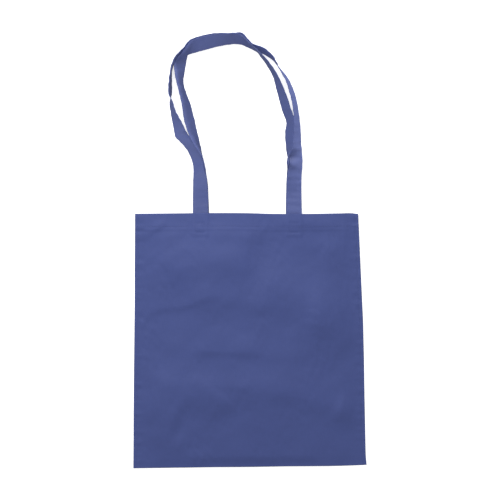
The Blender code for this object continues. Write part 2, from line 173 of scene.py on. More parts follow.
# ----------------------------------------------------------- creases and sags
# Each fold of the front panel: points along its crest on the layout sheet, its
# height in mm, and how far it reaches above and below the crest, in sheet units.
FOLDS = [
    # first arch: from the left side over to the middle, soft
    ([(146, 301), (157, 287), (169, 276), (184, 267), (200, 262), (218, 261), (236, 264),
      (256, 269)], 3.0, 26, 15),
    ([(156, 280), (178, 264), (204, 256), (232, 258), (264, 266)], 3.6, 32, 28),
    # second arch: sharp on the left, spreading to the right
    ([(136, 318), (146, 313), (159, 308), (172, 306), (181, 305), (191, 302.5), (200, 298.5),
      (208, 295.5), (222, 295)], 1.7, 18, 4.6),
    ([(176, 306), (198, 299), (224, 298), (256, 301), (290, 303), (316, 311), (340, 328)],
     3.1, 24, 14),
    # its broad shoulder on the right
    ([(250, 276), (276, 283), (302, 295), (326, 312), (348, 334)], 2.4, 20, 18),
    ([(284, 324), (310, 328), (334, 336), (354, 350)], 2.0, 17, 20),
    ([(300, 318), (330, 322), (360, 331), (384, 340)], 3.5, 28, 19),
    # short sharp crease from the left edge to the hem
    ([(132, 243), (145, 235), (158, 226.5), (168, 221)], 1.0, 5.5, 2.8),
    # slanting streaks in the upper left
    ([(136, 268), (150, 256), (168, 243), (180, 238)], 0.75, 6, 4),
    ([(138, 283), (158, 266), (180, 250), (196, 244)], 0.75, 7, 5),
    ([(138, 253), (152, 244), (168, 236), (186, 233)], 0.5, 5, 4),
    # flat crease below the middle, and its faint continuation to the right
    ([(186, 349.5), (202, 349.6), (222, 350), (246, 351), (268, 352)], 1.9, 16, 5.4),
    ([(236, 352), (260, 354), (290, 356), (318, 352), (346, 350)], 0.6, 12, 6),
    # sags in the lower part
    ([(202, 383), (218, 384), (236, 386), (254, 389)], 1.1, 10, 5),
    ([(134, 377), (150, 378), (166, 382), (182, 388)], 1.1, 12, 9),
    ([(142, 390), (160, 391), (180, 392), (202, 396), (220, 403), (234, 414)], 3.5, 20, 15),
    ([(130, 402), (146, 407), (162, 412), (184, 420)], 3.9, 16, 22),
    ([(222, 390), (250, 391), (282, 390), (306, 395), (330, 405), (350, 410), (374, 408)],
     2.7, 17, 13),
    ([(134, 434), (150, 434), (170, 439), (190, 446)], 1.6, 9, 14),
    ([(188, 372), (204, 386), (222, 400), (238, 416)], 1.2, 6, 7),
    ([(330, 405), (350, 413), (366, 417), (384, 420)], 2.4, 16, 13),
    # dent along the lower left seam
    ([(147, 416), (145.5, 440), (146, 472)], -0.9, 7, 7),
    # below the handle ends
    ([(268, 225), (286, 222.5), (304, 222.5), (322, 223), (342, 226)], 1.3, 8, 7),
    ([(284, 247), (302, 246), (324, 248)], 1.0, 9, 6),
    ([(206, 232), (228, 233), (250, 236), (270, 238)], 0.7, 8, 7),
    # the corner at the right of the mouth stands up a little
    ([(351, 202), (352.5, 220), (353, 240)], 1.9, 10, 12),
    # hollow by the right seam
    ([(316, 250), (342, 247), (368, 249)], 2.8, 12, 21),
]


def dense(points, n=60):
    """A smooth line through the points, and its running length from 0 to 1."""
    p = np.asarray(points, float)
    s = np.concatenate([[0], np.cumsum(np.linalg.norm(np.diff(p, axis=0), axis=1))])
    t = np.linspace(0, s[-1], n)
    return np.stack([through(s, p[:, 0])(t), through(s, p[:, 1])(t)], axis=1), t / s[-1]


def fold_field(px, py):
    shape = px.shape
    x, y = px.ravel(), py.ravel()
    total = np.zeros(x.size)
    for points, high, above, below in FOLDS:
        line, run = dense(points)
        best = np.full(x.size, 1e9)
        near = np.zeros(x.size, int)
        for k in range(len(line)):
            d = (x - line[k, 0]) ** 2 + (y - line[k, 1]) ** 2
            closer = d < best
            best[closer] = d[closer]
            near[closer] = k
        along = np.gradient(line, axis=0)[near]
        off = np.stack([x, y], 1) - line[near]
        # sheet y runs down, so this is positive above the crest
        side = along[:, 1] * off[:, 0] - along[:, 0] * off[:, 1]
        reach = np.where(side > 0, above, below)
        ends = smooth(run[near] / 0.22) * smooth((1 - run[near]) / 0.22)
        total += high * MM * ends * np.exp(-best / reach ** 2)
    return total.reshape(shape)


sag = swell(11, 9, 34, 90)
small_sag = swell(5, 12, 12, 30)
crumple = swell(17, 26, 5.5, 13)
left_pucker = ripple(3, 7, 5, 17)
right_pucker = ripple(8, 7, 5, 17)
edge_wave_l = ripple(21, 6, 14, 60)
edge_wave_r = ripple(22, 6, 14, 60)


def plateau(px, py, x0, x1, y0, y1, soft):
    return (smooth((px - x0) / soft + 0.5) * smooth((x1 - px) / soft + 0.5)
            * smooth((py - y0) / soft + 0.5) * smooth((y1 - py) / soft + 0.5))


def groove(d, wide):
    return np.exp(-(d / wide) ** 2)


def box_line(px, py, cx):
    """Distance in sheet units to the stitched rectangle of a handle end."""
    ax = np.abs(px - cx) - BOX_W / 2 / UNIT
    ay = np.abs(py - BOX_MID) - BOX_L / 2 / UNIT
    outside = np.hypot(np.maximum(ax, 0), np.maximum(ay, 0))
    return np.where((ax > 0) | (ay > 0), outside, -np.maximum(ax, ay))


def base_height(px, py):
    u = fraction(px, py)
    below = (py - mouth_edge(px)) * UNIT
    hems = (0.22 * (1.0 - smooth((below - 26.0 * MM) / (5 * MM)))
            + 0.78 * (1.0 - smooth((below - 28 * MM) / (30 * MM))))
    edge = CLOTH / 2 + PITCH * (1.0 + 2.0 * hems) + 0.15 * MM * hems
    v = np.minimum(1.0, np.abs(u) / SEAM_U)
    across_shape = (1.0 - v ** 2.4) ** np.where(u < 0, 1.18, 1.4)
    up = (bottom_edge(px) - py) * UNIT
    rise = 2 * FOLD_R - PITCH + 2.9 * MM * smooth(up / (20 * MM))
    rise = mix(rise, CROWN, smooth((up - 4 * MM) / (150 * MM)) ** 0.8)
    rise = mix(rise, CROWN_MOUTH, 1.0 - smooth(below / (110 * MM)))
    return edge + rise * across_shape


def front_height(px, py):
    """Middle of the front panel's cloth above the floor."""
    px, py = np.broadcast_arrays(np.asarray(px, float), np.asarray(py, float))
    z = base_height(px, py)
    u = fraction(px, py)
    v = np.abs(u) / SEAM_U
    free = 1.0 - smooth((v - 0.80) / 0.20)          # 0 at the side seams
    free_top = smooth((py - mouth_edge(px)) / 26.0)
    free_low = smooth((bottom_edge(px) - py) / 16.0)
    inner = (0.25 + 0.75 * free) * (0.15 + 0.85 * free_low)
    z = z + fold_field(px, py) * inner
    z = z + sag(px, py) * 0.24 * MM * free * (0.3 + 0.7 * free_top) * free_low
    z = z + small_sag(px, py) * 0.10 * MM * (0.3 + 0.7 * free) * (0.5 + 0.5 * free_top)
    z = z + crumple(px, py) * 0.032 * MM * (1.6 + sag(px + 60, py - 40))
    # side seams: the row of stitches pulls a groove and small puckers
    for seam_side, pucker in ((-1, left_pucker), (1, right_pucker)):
        d = (u * seam_side - SEAM_U) * 114.0          # sheet units, + is outside
        inward = np.where(d < 0, np.exp(-(d / 5.5) ** 2), 1.0)
        outward = np.where(d > 0, 0.75 + 0.08 * d, 1.0)
        z = z + 0.20 * MM * pucker(py) * inward * outward * np.where(d > -16, 1, 0)
        z = z + 0.10 * MM * groove(d - 1.9, 1.3)
        z = z - 0.16 * MM * groove(d, 0.8)
    # hem: a groove at its stitches, a fine ridge at its end
    z = z - 0.03 * MM * groove(py - ROW_Y, 1.0) + 0.02 * MM * groove(py - ROW_Y - 2.6, 1.6)
    # handle ends lie under the cloth, inside the stitched rectangles
    for cx in HANDLES_AT:
        z = z + 0.85 * MM * plateau(px, py, cx - 7.9, cx + 7.9, 200.0, TUCK_END + 0.4, 2.6)
        z = z - 0.38 * MM * groove(box_line(px, py, cx), 0.9)
        for sx in (-1, 1):
            for sy in (-1, 1):
                dx = px - cx - sx * BOX_W / 2 / UNIT
                dy = py - BOX_MID - sy * BOX_L / 2 / UNIT
                z = z - 0.30 * MM * np.exp(-(dx ** 2 + dy ** 2) / 1.7 ** 2)
    # a light upright crease in the right of the hem
    z = z + 0.28 * MM * groove(px - 343.5, 1.6) * smooth((py - 209) / 6) * smooth((252 - py) / 10)
    return np.maximum(z, CLOTH / 2 + PITCH * 0.95)


def back_height(px, py):
    """Middle of the back panel's cloth: flat on the floor, but for its stitches."""
    px, py = np.broadcast_arrays(np.asarray(px, float), np.asarray(py, float))
    u = fraction(px, py)
    z = np.full(px.shape, CLOTH / 2)
    for seam_side in (-1, 1):
        z = z + 0.16 * MM * groove((u * seam_side - SEAM_U) * 114.0, 0.9)
    z = z + 0.16 * MM * groove(py - ROW_Y, 0.9)
    for cx in HANDLES_AT:
        z = z + 0.16 * MM * groove(box_line(px, py, cx), 0.9)
    return z


# ------------------------------------------------------------- mesh builders
def grid_object(name, points, flat, closed=False):
    """A sheet from rows of points; flat holds each point's place on the cut
    cloth, in metres, for the materials."""
    rows, cols = points.shape[:2]
    index = np.arange(rows * cols).reshape(rows, cols)
    quads = np.stack([index[:-1, :-1], index[:-1, 1:], index[1:, 1:], index[1:, :-1]], -1)
    quads = quads.reshape(-1, 4)
    me = bpy.data.meshes.new(name)
    me.from_pydata(points.reshape(-1, 3).tolist(), [], quads.tolist())
    layer = me.uv_layers.new(name="cloth")
    loops = np.zeros(len(me.loops), int)
    me.loops.foreach_get("vertex_index", loops)
    layer.data.foreach_set("uv", flat.reshape(-1, 2)[loops].astype(np.float32).ravel())
    me.shade_smooth()
    me.update()
    ob = bpy.data.objects.new(name, me)
    bpy.context.scene.collection.objects.link(ob)
    return ob


def thicken(ob, thick):
    mod = ob.modifiers.new("cloth", 'SOLIDIFY')
    mod.thickness = thick
    mod.offset = 0.0
    mod.use_even_offset = True
    mod.use_quality_normals = True
    return ob


def stitches(name, rows):
    """One mesh of single stitches.  rows is a list of (points, normals, pitch):
    the row's line on the cloth's face and the face's normals along it."""
    rings, around = 7, 8
    t = np.linspace(0, 1, rings)
    lift = np.array([-0.30, 0.02, 0.15, 0.18, 0.15, 0.02, -0.30]) * MM
    fat = np.array([0.62, 0.92, 1.0, 1.0, 1.0, 0.92, 0.62]) * THREAD / 2
    turn = np.arange(around) * 2 * math.pi / around
    verts, faces, coords = [], [], []
    for line, normals, pitch in rows:
        line, normals = np.asarray(line), unit(np.asarray(normals))
        s = np.concatenate([[0], np.cumsum(np.linalg.norm(np.diff(line, axis=0), axis=1))])
        count = max(1, int(round(s[-1] / pitch)))
        step = s[-1] / count
        for k in range(count):
            want = s[0] + step * (k + 0.06 + t * 0.88)
            p = np.stack([np.interp(want, s, line[:, c]) for c in range(3)], 1)
            n = unit(np.stack([np.interp(want, s, normals[:, c]) for c in range(3)], 1))
            run = unit(np.gradient(p, axis=0))
            side = unit(np.cross(run, n))
            # thread lies a little across its row
            slant = (t - 0.5)[:, None] * side * 0.22 * MM
            c = p + n * lift[:, None] + slant
            base = len(verts)
            for q in range(rings):
                for a in turn:
                    verts.append(c[q] + (side[q] * math.cos(a) + n[q] * math.sin(a) * 0.85) * fat[q])
            coords += [(want[q], a / (2 * math.pi) * THREAD * math.pi)
                       for q in range(rings) for a in turn]
            for q in range(rings - 1):
                for a in range(around):
                    b = (a + 1) % around
                    faces.append((base + q * around + a, base + (q + 1) * around + a,
                                  base + (q + 1) * around + b, base + q * around + b))
            faces.append(tuple(base + a for a in range(around)))
            faces.append(tuple(base + (rings - 1) * around + a for a in reversed(range(around))))
    me = bpy.data.meshes.new(name)
    me.from_pydata([tuple(v) for v in verts], [], faces)
    layer = me.uv_layers.new(name="cloth")
    loops = np.zeros(len(me.loops), int)
    me.loops.foreach_get("vertex_index", loops)
    layer.data.foreach_set("uv", np.asarray(coords, np.float32)[loops].ravel())
    me.shade_smooth()
    me.update()
    ob = bpy.data.objects.new(name, me)
    bpy.context.scene.collection.objects.link(ob)
    return ob


# ------------------------------------------------------------------ bag cloth
def stations(*runs):
    """Fractions from 0 to 1, with each run's own spacing."""
    out = [0.0]
    for end, count in runs:
        start = out[-1]
        out += [start + (end - start) * (k + 1) / count for k in range(count)]
    return np.array(out)


side = stations((0.0020, 1), (0.0045, 1), (0.010, 2), (SEAM_IN / (380 * MM) - 0.0025, 2),
                (SEAM_IN / (380 * MM) + 0.0025, 4), (0.035, 4), (0.06, 5), (0.5, 69))
U = np.concatenate([side, 1.0 - side[-2::-1]]) * 2.0 - 1.0

V = [("front_hem", t) for t in stations((0.02, 1), (0.14, 2), (0.30, 3), (0.9, 4))]
V += [("front_turn", t) for t in np.linspace(0, 1, 8)]
hem_at = (HEM_END - 213.0) / 253.3
row_at = (ROW_Y - 213.0) / 253.3
V += [("front", t) for t in stations((0.004, 1), (row_at - 0.008, 9), (row_at + 0.008, 6),
                                     (hem_at + 0.014, 7), (0.5, 62), (0.95, 68),
                                     (0.996, 10))[1:]]
V += [("bottom", t) for t in np.linspace(0, 1, 12)]
V += [("back", t) for t in stations((0.02, 2), (0.90, 40), (1 - hem_at, 3), (1 - row_at - 0.006, 2),
                                    (1 - row_at + 0.006, 4), (0.99, 6))[1:]]
V += [("back_turn", t) for t in np.linspace(0, 1, 8)]
V += [("back_hem", t) for t in stations((0.2, 2), (0.86, 6), (1.0, 2))[1:]]

TURN = PITCH / 2 + CLOTH / 2


def bag_rows():
    rows = []
    for part, t in V:
        u = U
        # the sheet's edges aren't cut quite alike on the two panels
        py = np.full(u.shape, 340.0)
        top = mouth_edge(across(u, 213.0))
        low = bottom_edge(across(u, 466.0))
        turn_y = top + TURN / UNIT
        corner = smooth((1.0 - np.abs(u)) / 0.10)
        fold = mix(PITCH / 2, FOLD_R, corner)
        fold_y = low - (fold + CLOTH / 2) / UNIT
        inset = 0.0
        if part == "front_hem":
            py = mix(HEM_END + (top - 213.0), turn_y, t)
            px = across(u, py)
            z = front_height(px, py) - PITCH
        elif part == "front_turn":
            a = math.radians(mix(-90.0, 90.0, t))
            py = turn_y - PITCH / 2 * math.cos(a) / UNIT
            px = across(u, py)
            z = front_height(px, turn_y) - PITCH / 2 + PITCH / 2 * math.sin(a)
        elif part == "front":
            py = mix(turn_y, fold_y, t)
            px = across(u, py)
            z = front_height(px, py)
        elif part == "bottom":
            a = math.radians(mix(90.0, 270.0, t))
            px = across(u, fold_y)
            up, base = front_height(px, fold_y), back_height(px, fold_y)
            py = fold_y - fold * math.cos(a) / UNIT
            z = (up + base) / 2 + (up - base) / 2 * math.sin(a)
            px = across(u, py)
        elif part == "back":
            py = mix(fold_y, turn_y, t)
            px = across(u, py)
            z = back_height(px, py)
            inset = smooth(t / 0.06) * smooth((1 - t) / 0.04)
        elif part == "back_turn":
            a = math.radians(mix(-90.0, 90.0, t))
            py = turn_y - PITCH / 2 * math.cos(a) / UNIT
            px = across(u, py)
            z = back_height(px, turn_y) + PITCH / 2 + PITCH / 2 * math.sin(a)
        else:
            py = mix(turn_y, HEM_END + (top - 213.0), t)
            px = across(u, py)
            z = back_height(px, py) + PITCH
        if np.any(inset):
            edge = smooth((np.abs(u) - 0.93) / 0.07)
            px = px - np.sign(u) * edge * inset * (0.28 + 0.14 * np.where(
                u < 0, edge_wave_l(py), edge_wave_r(py)))
        rows.append(at(px, py, z))
    return np.stack(rows)


body_points = bag_rows()
run = np.linalg.norm(np.diff(body_points[:, len(U) // 2], axis=0), axis=1)
along = np.concatenate([[0], np.cumsum(run)])
flat = np.stack(np.broadcast_arrays((U * 0.19)[None, :], along[:, None]), -1)
bag_cloth = thicken(grid_object("bag_cloth", body_points, flat), CLOTH)
SHEET_LENGTH = float(along[-1])


def on_front(px, py, lift=0.0):
    """Points and normals on the outer face of the front panel."""
    px, py = np.broadcast_arrays(np.asarray(px, float), np.asarray(py, float))
    e = 0.4
    z = front_height(px, py)
    gx = (front_height(px + e, py) - front_height(px - e, py)) / (2 * e * UNIT)
    gy = (front_height(px, py - e) - front_height(px, py + e)) / (2 * e * UNIT)
    n = unit(np.stack([-gx, -gy, np.ones_like(gx)], -1))
    return at(px, py, z) + n * (CLOTH / 2 + lift), n


def on_back(px, py, face):
    """Points and normals on the back panel: face 1 is up, inside, over the hem
    where there is one, and -1 is down, on the floor."""
    px, py = np.broadcast_arrays(np.asarray(px, float), np.asarray(py, float))
    z = back_height(px, py)
    n = np.zeros(px.shape + (3,))
    n[..., 2] = face
    hem = np.where(py < HEM_END, PITCH, 0.0)
    if face > 0:
        return at(px, py, z + hem + CLOTH / 2), n
    return at(px, py, z - CLOTH / 2), n


# -------------------------------------------------------------------- handles
Z_BACK_IN = CLOTH + PITCH + GAP
Z_FRONT_IN = float(np.min(front_height(np.repeat([192.5, 301.3], 5),
                                       np.tile([213.5, 217, 222, 228, 236], 2)))) \
    - PITCH - CLOTH / 2 - GAP - HANDLE_T + 0.35 * MM
F_IN, B_IN = Z_FRONT_IN / MM, Z_BACK_IN / MM

FRONT_PATH = [
    (192.5, TUCK_END, 207.6, TUCK_END, F_IN),
    (192.5, 224.0, 207.6, 224.0, F_IN),
    (192.5, 213.0, 207.6, 213.0, F_IN),
    (192.5, 205.0, 207.6, 205.0, 4.9),
    (192.5, 196.0, 207.5, 196.0, 4.1),
    (192.6, 187.0, 207.1, 187.0, 3.4),
    (192.8, 178.0, 206.2, 178.0, 2.8),
    (193.2, 169.5, 203.6, 169.0, 1.8),
    (191.9, 161.2, 202.0, 159.5, 0.3),
    (189.3, 154.6, 199.5, 152.8, 0.1),
    (186.7, 149.8, 196.0, 146.3, 0.1),
    (181.9, 143.4, 192.1, 140.5, 0.1),
    (178.2, 139.6, 189.6, 136.8, 0.1),
    (175.0, 136.6, 187.6, 134.2, 0.1),
    (173.9, 132.2, 185.4, 130.4, 0.1),
    (172.9, 126.4, 182.7, 125.2, 0.1),
    (171.4, 118.6, 179.0, 118.0, 0.1),
    (170.4, 111.0, 175.4, 110.8, 0.1),
    (169.4, 104.6, 172.9, 104.6, 0.1),
    (169.2, 100.2, 171.6, 100.2, 0.1),
    (171.0, 94.6, 168.6, 94.6, 0.1),
    (171.4, 89.0, 167.9, 89.0, 0.1),
    (171.3, 80.0, 168.3, 80.0, 0.1),
    (171.5, 71.0, 169.6, 71.0, 0.1),
    (173.2, 64.0, 171.2, 63.0, 0.1),
    (177.6, 58.6, 174.6, 55.8, 0.1),
    (182.6, 55.2, 178.9, 51.4, 0.1),
    (187.2, 53.0, 184.0, 46.0, 0.1),
    (189.2, 52.6, 187.1, 41.2, 0.1),
    (192.6, 51.7, 190.4, 38.7, 0.2),
    (200.2, 49.8, 197.4, 36.2, 0.3),
    (213.6, 46.1, 212.0, 32.9, 0.3),
    (227.6, 43.5, 227.0, 32.5, 0.3),
    (237.6, 43.0, 238.2, 31.9, 0.2),
    (241.6, 43.5, 241.3, 32.4, 0.2),
    (245.6, 44.8, 247.2, 38.2, 0.1),
    (250.0, 46.6, 252.6, 43.0, 0.1),
    (255.4, 49.3, 257.6, 45.2, 0.1),
    (260.6, 52.6, 262.8, 47.2, 0.1),
    (265.2, 54.9, 268.4, 50.9, 0.1),
    (269.6, 57.6, 272.6, 55.4, 0.1),
    (273.6, 61.0, 275.4, 60.2, 0.1),
    (276.9, 64.6, 277.1, 64.5, 0.1),
    (281.6, 70.2, 280.4, 70.8, 0.1),
    (287.0, 77.4, 284.6, 78.6, 0.1),
    (291.4, 85.8, 287.8, 87.2, 0.1),
    (294.6, 93.8, 290.2, 95.2, 0.1),
    (296.6, 103.0, 291.9, 104.0, 0.1),
    (298.1, 112.0, 293.2, 112.6, 0.1),
    (299.3, 121.0, 293.4, 121.3, 0.1),
    (300.2, 132.0, 293.2, 132.0, 0.1),
    (300.5, 139.0, 292.7, 139.0, 0.1),
    (300.7, 144.6, 292.2, 144.6, 0.1),
    (301.1, 149.0, 291.0, 149.0, 0.2),
    (301.4, 152.6, 289.2, 152.6, 0.6),
    (301.8, 156.0, 287.9, 156.0, 2.2),
    (302.0, 159.4, 288.8, 159.4, 2.2),
    (301.9, 162.0, 289.5, 162.0, 2.1),
    (301.8, 164.6, 289.1, 164.6, 2.0),
    (301.7, 167.0, 288.3, 167.0, 2.0),
    (301.4, 170.0, 287.5, 170.0, 1.9),
    (301.1, 174.6, 287.1, 174.6, 2.1),
    (300.9, 181.0, 286.3, 181.0, 2.6),
    (300.9, 194.0, 285.8, 194.0, 3.7),
    (301.1, 205.0, 286.0, 205.0, 4.9),
    (301.3, 213.0, 285.5, 213.0, F_IN),
    (301.2, 224.0, 286.1, 224.0, F_IN),
    (301.2, TUCK_END, 286.1, TUCK_END, F_IN),
]

BACK_PATH = [
    (193.0, TUCK_END, 208.0, TUCK_END, B_IN),
    (193.2, 224.0, 208.2, 224.0, B_IN),
    (193.5, 213.0, 208.5, 213.0, B_IN),
    (193.4, 205.0, 208.4, 205.0, 1.1),
    (193.1, 197.0, 208.0, 197.0, 0.9),
    (193.0, 187.0, 207.6, 187.0, 0.9),
    (193.2, 180.0, 206.9, 180.0, 0.7),
    (194.6, 172.5, 205.6, 172.5, 0.3),
    (198.6, 165.5, 204.3, 165.0, 0.1),
    (202.0, 158.0, 201.9, 157.0, 0.1),
    (200.9, 150.5, 198.2, 151.0, 0.1),
    (199.5, 143.5, 194.0, 144.8, 0.1),
    (197.7, 136.0, 190.2, 138.0, 0.1),
    (195.9, 128.0, 186.9, 130.2, 0.1),
    (193.6, 118.0, 183.8, 120.2, 0.1),
    (190.5, 106.0, 182.1, 108.2, 0.1),
    (187.1, 96.0, 180.2, 97.6, 0.1),
    (183.7, 87.0, 177.5, 88.0, 0.1),
    (182.8, 80.6, 175.8, 80.8, 0.1),
    (183.5, 75.0, 174.8, 75.0, 0.1),
    (184.3, 70.0, 174.1, 69.4, 0.1),
    (185.6, 62.6, 173.6, 61.6, 0.1),
    (186.6, 57.0, 176.6, 57.6, 0.1),
    (187.0, 54.8, 180.8, 53.0, 0.1),
    (188.6, 53.9, 185.2, 47.0, 0.4),
    (192.6, 52.7, 190.2, 41.0, 1.4),
    (200.2, 50.6, 197.8, 37.8, 2.4),
    (213.8, 46.9, 212.6, 34.2, 2.6),
    (227.8, 44.1, 227.8, 32.9, 2.4),
    (238.6, 43.7, 239.0, 33.6, 1.6),
    (242.4, 44.6, 242.9, 36.5, 1.2),
    (247.3, 46.9, 247.9, 40.9, 0.6),
    (253.0, 49.5, 254.2, 47.0, 0.2),
    (257.4, 52.4, 259.0, 51.4, 0.1),
    (261.4, 57.6, 263.7, 55.9, 0.1),
    (265.8, 64.0, 268.8, 62.2, 0.1),
    (270.2, 71.0, 273.8, 69.2, 0.1),
    (273.6, 79.0, 278.4, 77.0, 0.1),
    (275.9, 88.0, 282.4, 85.8, 0.1),
    (278.2, 97.0, 285.8, 94.8, 0.1),
    (280.9, 107.0, 289.2, 104.8, 0.1),
    (284.0, 116.0, 292.4, 113.8, 0.1),
    (286.2, 122.8, 293.3, 121.9, 0.1),
    (285.3, 127.6, 293.5, 127.6, 0.1),
    (284.6, 132.2, 293.4, 132.2, 0.1),
    (284.9, 138.0, 293.2, 138.0, 0.1),
    (285.4, 144.0, 292.6, 144.0, 0.1),
    (285.9, 149.0, 291.4, 149.0, 0.1),
    (286.3, 152.6, 289.5, 152.6, 0.1),
    (287.1, 155.8, 287.8, 155.8, 0.1),
    (289.2, 158.6, 286.8, 158.6, 0.1),
    (293.4, 161.8, 286.4, 161.8, 0.1),
    (298.2, 164.8, 286.6, 164.8, 0.1),
    (300.5, 168.2, 286.8, 168.2, 0.3),
    (301.0, 173.0, 286.3, 173.0, 0.8),
    (300.7, 185.0, 285.7, 185.0, 0.9),
    (300.4, 197.0, 285.4, 197.0, 0.9),
    (300.3, 205.0, 285.3, 205.0, 1.1),
    (300.3, 213.0, 285.3, 213.0, B_IN),
    (300.6, 224.0, 285.6, 224.0, B_IN),
    (300.8, TUCK_END, 285.8, TUCK_END, B_IN),
]


def seen(px, py, z):
    """The point at height z that shows at a place of the layout sheet from the
    camera, which looks straight down from CAMERA_UP."""
    p = at(px, py, z)
    k = (CAMERA_UP - z) / CAMERA_UP
    p[..., 0] *= k
    p[..., 1] *= k
    return p


def edges(station):
    """The folded edge and the open edge of the strip at one station."""
    x0, y0, x1, y1, lift = station
    a = seen(x0, y0, lift * MM)
    rise = 0.0
    for _ in range(4):
        b = seen(x1, y1, a[2] + rise)
        wide = min(float(np.hypot(*(b - a)[:2])), HANDLE_W)
        rise = math.sqrt(HANDLE_W ** 2 - wide ** 2)
    a[2] = lift * MM + HANDLE_T / 2 * wide / HANDLE_W
    b[2] = a[2] + rise
    return a, b


def curve_through(points, k, t):
    p1, p2 = points[k], points[k + 1]
    p0 = points[k - 1] if k > 0 else p1 * 2 - p2
    p3 = points[k + 2] if k + 2 < len(points) else p2 * 2 - p1
    d0 = max(np.linalg.norm(p1 - p0), 1e-6) ** 0.5
    d1 = max(np.linalg.norm(p2 - p1), 1e-6) ** 0.5
    d2 = max(np.linalg.norm(p3 - p2), 1e-6) ** 0.5
    m1 = ((p1 - p0) / d0 - (p2 - p0) / (d0 + d1) + (p2 - p1) / d1) * d1
    m2 = ((p2 - p1) / d1 - (p3 - p1) / (d1 + d2) + (p3 - p2) / d2) * d1
    return (p1 * (2 * t ** 3 - 3 * t ** 2 + 1) + m1 * (t ** 3 - 2 * t ** 2 + t)
            + p2 * (-2 * t ** 3 + 3 * t ** 2) + m2 * (t ** 3 - t ** 2))


def strip_rows(path, step=2.0 * MM):
    """Folded edge and width direction all along a handle, evenly spaced."""
    ends = [edges(s) for s in path]
    folded = [e[0] for e in ends]
    opened = [e[1] for e in ends]
    low, wide = [], []
    for k in range(len(path) - 1):
        n = 16
        for s in range(n + (k == len(path) - 2)):
            a = curve_through(folded, k, s / n)
            b = curve_through(opened, k, s / n)
            b[2] = max(b[2], a[2])
            low.append(a)
            wide.append(unit(b - a))
    low, wide = np.array(low), np.array(wide)
    mid = low + wide * HALF
    s = np.concatenate([[0], np.cumsum(np.linalg.norm(np.diff(mid, axis=0), axis=1))])
    count = int(round(s[-1] / step))
    want = np.linspace(0, s[-1], count + 1)
    low = np.stack([np.interp(want, s, low[:, c]) for c in range(3)], 1)
    wide = unit(np.stack([np.interp(want, s, wide[:, c]) for c in range(3)], 1))
    return low, wide, want


def faces_of(low, wide, a):
    """The strip's own face normals a across from its folded edge."""
    line = low + wide * np.asarray(a)[..., None] if np.ndim(a) else low + wide * a
    return unit(np.cross(wide, unit(np.gradient(line, axis=0))))


def handle(name, path, seed):
    low, wide, run = strip_rows(path)
    wave_a, wave_b, wave_c = (ripple(seed + k, 8, 9, 70) for k in range(3))
    s = run / MM
    count = len(run)
    # the cloth's way round the strip: open edge, one layer, the fold, the other
    h_tight, h_loose = 0.245 * MM, 0.40 * MM
    lay = np.array([0.0, 0.35, 0.9, 1.8, 2.8, 3.5, 4.2, 5.6, 8.0, 11.0, 14.0, 17.0,
                    20.0, 22.3, 23.8, 24.55]) * MM
    turn = np.radians([60, 30, 0, -30, -60])
    across_mm, off_mm = [], []
    for d in lay:
        a = HANDLE_W - d
        puff = smooth((d - 3.6 * MM) / (6 * MM)) * smooth((HANDLE_W - d) / (5 * MM))
        across_mm.append(a)
        off_mm.append(h_tight + (h_loose - h_tight) * puff)
    for t in turn:
        across_mm.append(0.28 * MM - 0.28 * MM * math.cos(t))
        off_mm.append(h_tight * math.sin(t))
    for d, o in list(zip(lay, off_mm[:len(lay)]))[::-1]:
        across_mm.append(HANDLE_W - d)
        off_mm.append(-o)
    a_at = np.array(across_mm)
    o_at = np.array(off_mm)
    cloth_at = np.concatenate([[0], np.cumsum(np.hypot(np.diff(a_at), np.diff(o_at)))])
    points = np.zeros((count, len(a_at), 3))
    inside = smooth(s / 45.0) * smooth((s[-1] - s) / 45.0)
    lowest = np.zeros(count)
    for c, (a, o) in enumerate(zip(a_at, o_at)):
        n = faces_of(low, wide, a)
        # creases across the strip, and a slack edge beyond the stitching
        x = a / HANDLE_W
        bow = (0.30 * wave_a(s) * x + 0.22 * wave_b(s) * (1 - x)
               + 0.16 * wave_c(s + 6 * x)) * MM * inside * 0.75
        points[:, c] = low + wide * a + n * (o + bow)[:, None]
    # it rests on the floor, and doesn't pass through it
    lowest = points[:, :, 2].min(axis=1) - CLOTH / 2
    lift = np.maximum(0.0, 0.05 * MM - lowest)
    points[:, :, 2] += lift[:, None]
    flat = np.stack(np.broadcast_arrays(cloth_at[None, :], run[:, None]), -1)
    ob = thicken(grid_object(name, points, flat), CLOTH)
    # face lines for the stitches, 3.5 mm in from the open edge
    col = 5
    outer, inner = points[:, col], points[:, len(a_at) - 1 - col]
    n_out = unit(np.cross(points[:, col + 1] - points[:, col - 1],
                          np.gradient(points[:, col], axis=0)))
    mid_gap = unit(outer - inner)
    n_out = np.where((n_out * mid_gap).sum(1, keepdims=True) < 0, -n_out, n_out)
    return ob, outer + n_out * CLOTH / 2, n_out, inner - n_out * CLOTH / 2


front_handle, f_out, f_n, f_in = handle("front_handle_strip", FRONT_PATH, 41)
back_handle, b_out, b_n, b_in = handle("back_handle_strip", BACK_PATH, 61)

# ------------------------------------------------------------------ stitching
thread_pieces = {}


def thread_piece(node, rows):
    ob = stitches(node.replace("_thread", "_stitches"), rows)
    thread_pieces[node] = ob
    return ob


xs = np.linspace(-0.992, 0.992, 240)
row_x = across(xs, ROW_Y)
row_p, row_n = on_front(row_x, ROW_Y + (mouth_edge(row_x) - 213.0))
under_p = at(row_x, ROW_Y + (mouth_edge(row_x) - 213.0),
             front_height(row_x, ROW_Y + (mouth_edge(row_x) - 213.0)) - PITCH - CLOTH / 2)
thread_piece("front_hem_thread", [(row_p, row_n, STITCH), (under_p, -row_n, STITCH)])
up_p, up_n = on_back(row_x, ROW_Y, 1)
dn_p, dn_n = on_back(row_x, ROW_Y, -1)
thread_piece("back_hem_thread", [(up_p, up_n, STITCH), (dn_p, dn_n, STITCH)])

